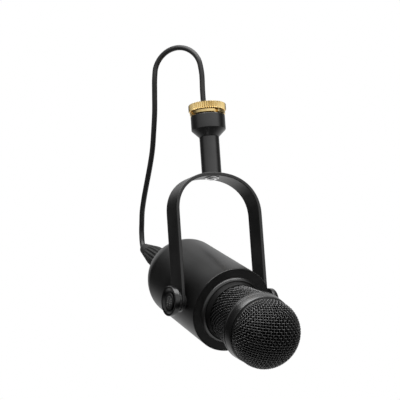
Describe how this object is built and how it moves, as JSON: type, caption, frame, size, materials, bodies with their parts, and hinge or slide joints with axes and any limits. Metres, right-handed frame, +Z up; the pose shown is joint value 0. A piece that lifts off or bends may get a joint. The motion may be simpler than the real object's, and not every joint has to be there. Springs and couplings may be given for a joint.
{
  "type": "studio microphone",
  "caption": "Condenser microphone with a domed mesh grille, tilting in a U-shaped yoke under a threaded stem, with a short lead coiled behind the stem.",
  "frame": {"origin": "on the stem's axis, at the top face of the brass thread adapter", "axes": "+Z up along the stem, out of the stand thread; +X along the tilt axis, to the right seen from the grille's side; the grille looks towards -Y and down"},
  "size_m": [0.0704, 0.1604, 0.2122],
  "materials": {
    "brass": "turned",
    "black_metal": "matte black paint",
    "black_aluminium": "matte black paint",
    "black_plastic": "matte",
    "black_mesh": "black woven wire",
    "rubber": "matte",
    "foam": "open cell foam",
    "steel": "plain",
    "gold_film": "gold plated",
    "board": "solder mask"
  },
  "bodies": {
    "adapter": {"thread_adapter": "brass"},
    "lock_ring": {"lock_ring": "brass"},
    "yoke": {"stem": "black_metal", "yoke_bracket": "black_metal", "yoke_screw": "steel", "left_knob_washer": "black_plastic", "right_knob_washer": "black_plastic", "tie_base": "black_plastic", "cable_tie": "black_plastic", "cable_coil": "rubber", "cable_tail": "rubber", "jack_boot": "rubber", "jack_shell": "black_plastic", "jack_contact": "gold_film", "cable": "rubber"},
    "mic": {"barrel_shell": "black_aluminium", "front_bezel": "black_plastic", "rear_mesh_sleeve": "black_mesh", "sleeve_liner": "foam", "grille_band": "black_aluminium", "front_mesh": "black_mesh", "grille_foam": "foam", "capsule_housing": "brass", "capsule_backplate": "brass", "capsule_diaphragm": "gold_film", "capsule_clamp_ring": "brass", "capsule_mount": "rubber", "bulkhead": "black_plastic", "circuit_board": "board", "filter_capacitor": "black_plastic", "amplifier_can": "steel", "socket_shell": "steel", "socket_insert": "black_plastic", "socket_pin_1": "brass", "socket_pin_2": "brass", "socket_pin_3": "brass", "left_spacer": "rubber", "right_spacer": "rubber", "left_pivot_nut": "brass", "right_pivot_nut": "brass", "plug_body": "steel", "plug_insert": "black_plastic", "plug_grip": "black_plastic", "plug_boot": "rubber"},
    "left_knob": {"left_knob": "black_aluminium", "left_knob_cap": "black_metal", "left_pivot_stud": "steel"},
    "right_knob": {"right_knob": "black_aluminium", "right_knob_cap": "black_metal", "right_pivot_stud": "steel"}
  },
  "joints": [
    {"name": "lock_ring_turn", "type": "hinge", "parent": "adapter", "child": "lock_ring", "pos_m": [0, 0, 0], "axis": [0, 0, 1], "continuous": true},
    {"name": "yoke_swivel", "type": "hinge", "parent": "adapter", "child": "yoke", "pos_m": [0, 0, 0], "axis": [0, 0, 1], "range_deg": [-180, 180]},
    {"name": "mic_tilt", "type": "hinge", "parent": "yoke", "child": "mic", "pos_m": [0, 0, -0.11985], "axis": [1, 0, 0], "range_deg": [-58, 41], "deforming": ["cable"]},
    {"name": "left_knob_turn", "type": "hinge", "parent": "yoke", "child": "left_knob", "pos_m": [0, 0, -0.11985], "axis": [1, 0, 0], "continuous": true},
    {"name": "right_knob_turn", "type": "hinge", "parent": "yoke", "child": "right_knob", "pos_m": [0, 0, -0.11985], "axis": [1, 0, 0], "continuous": true}
  ]
}
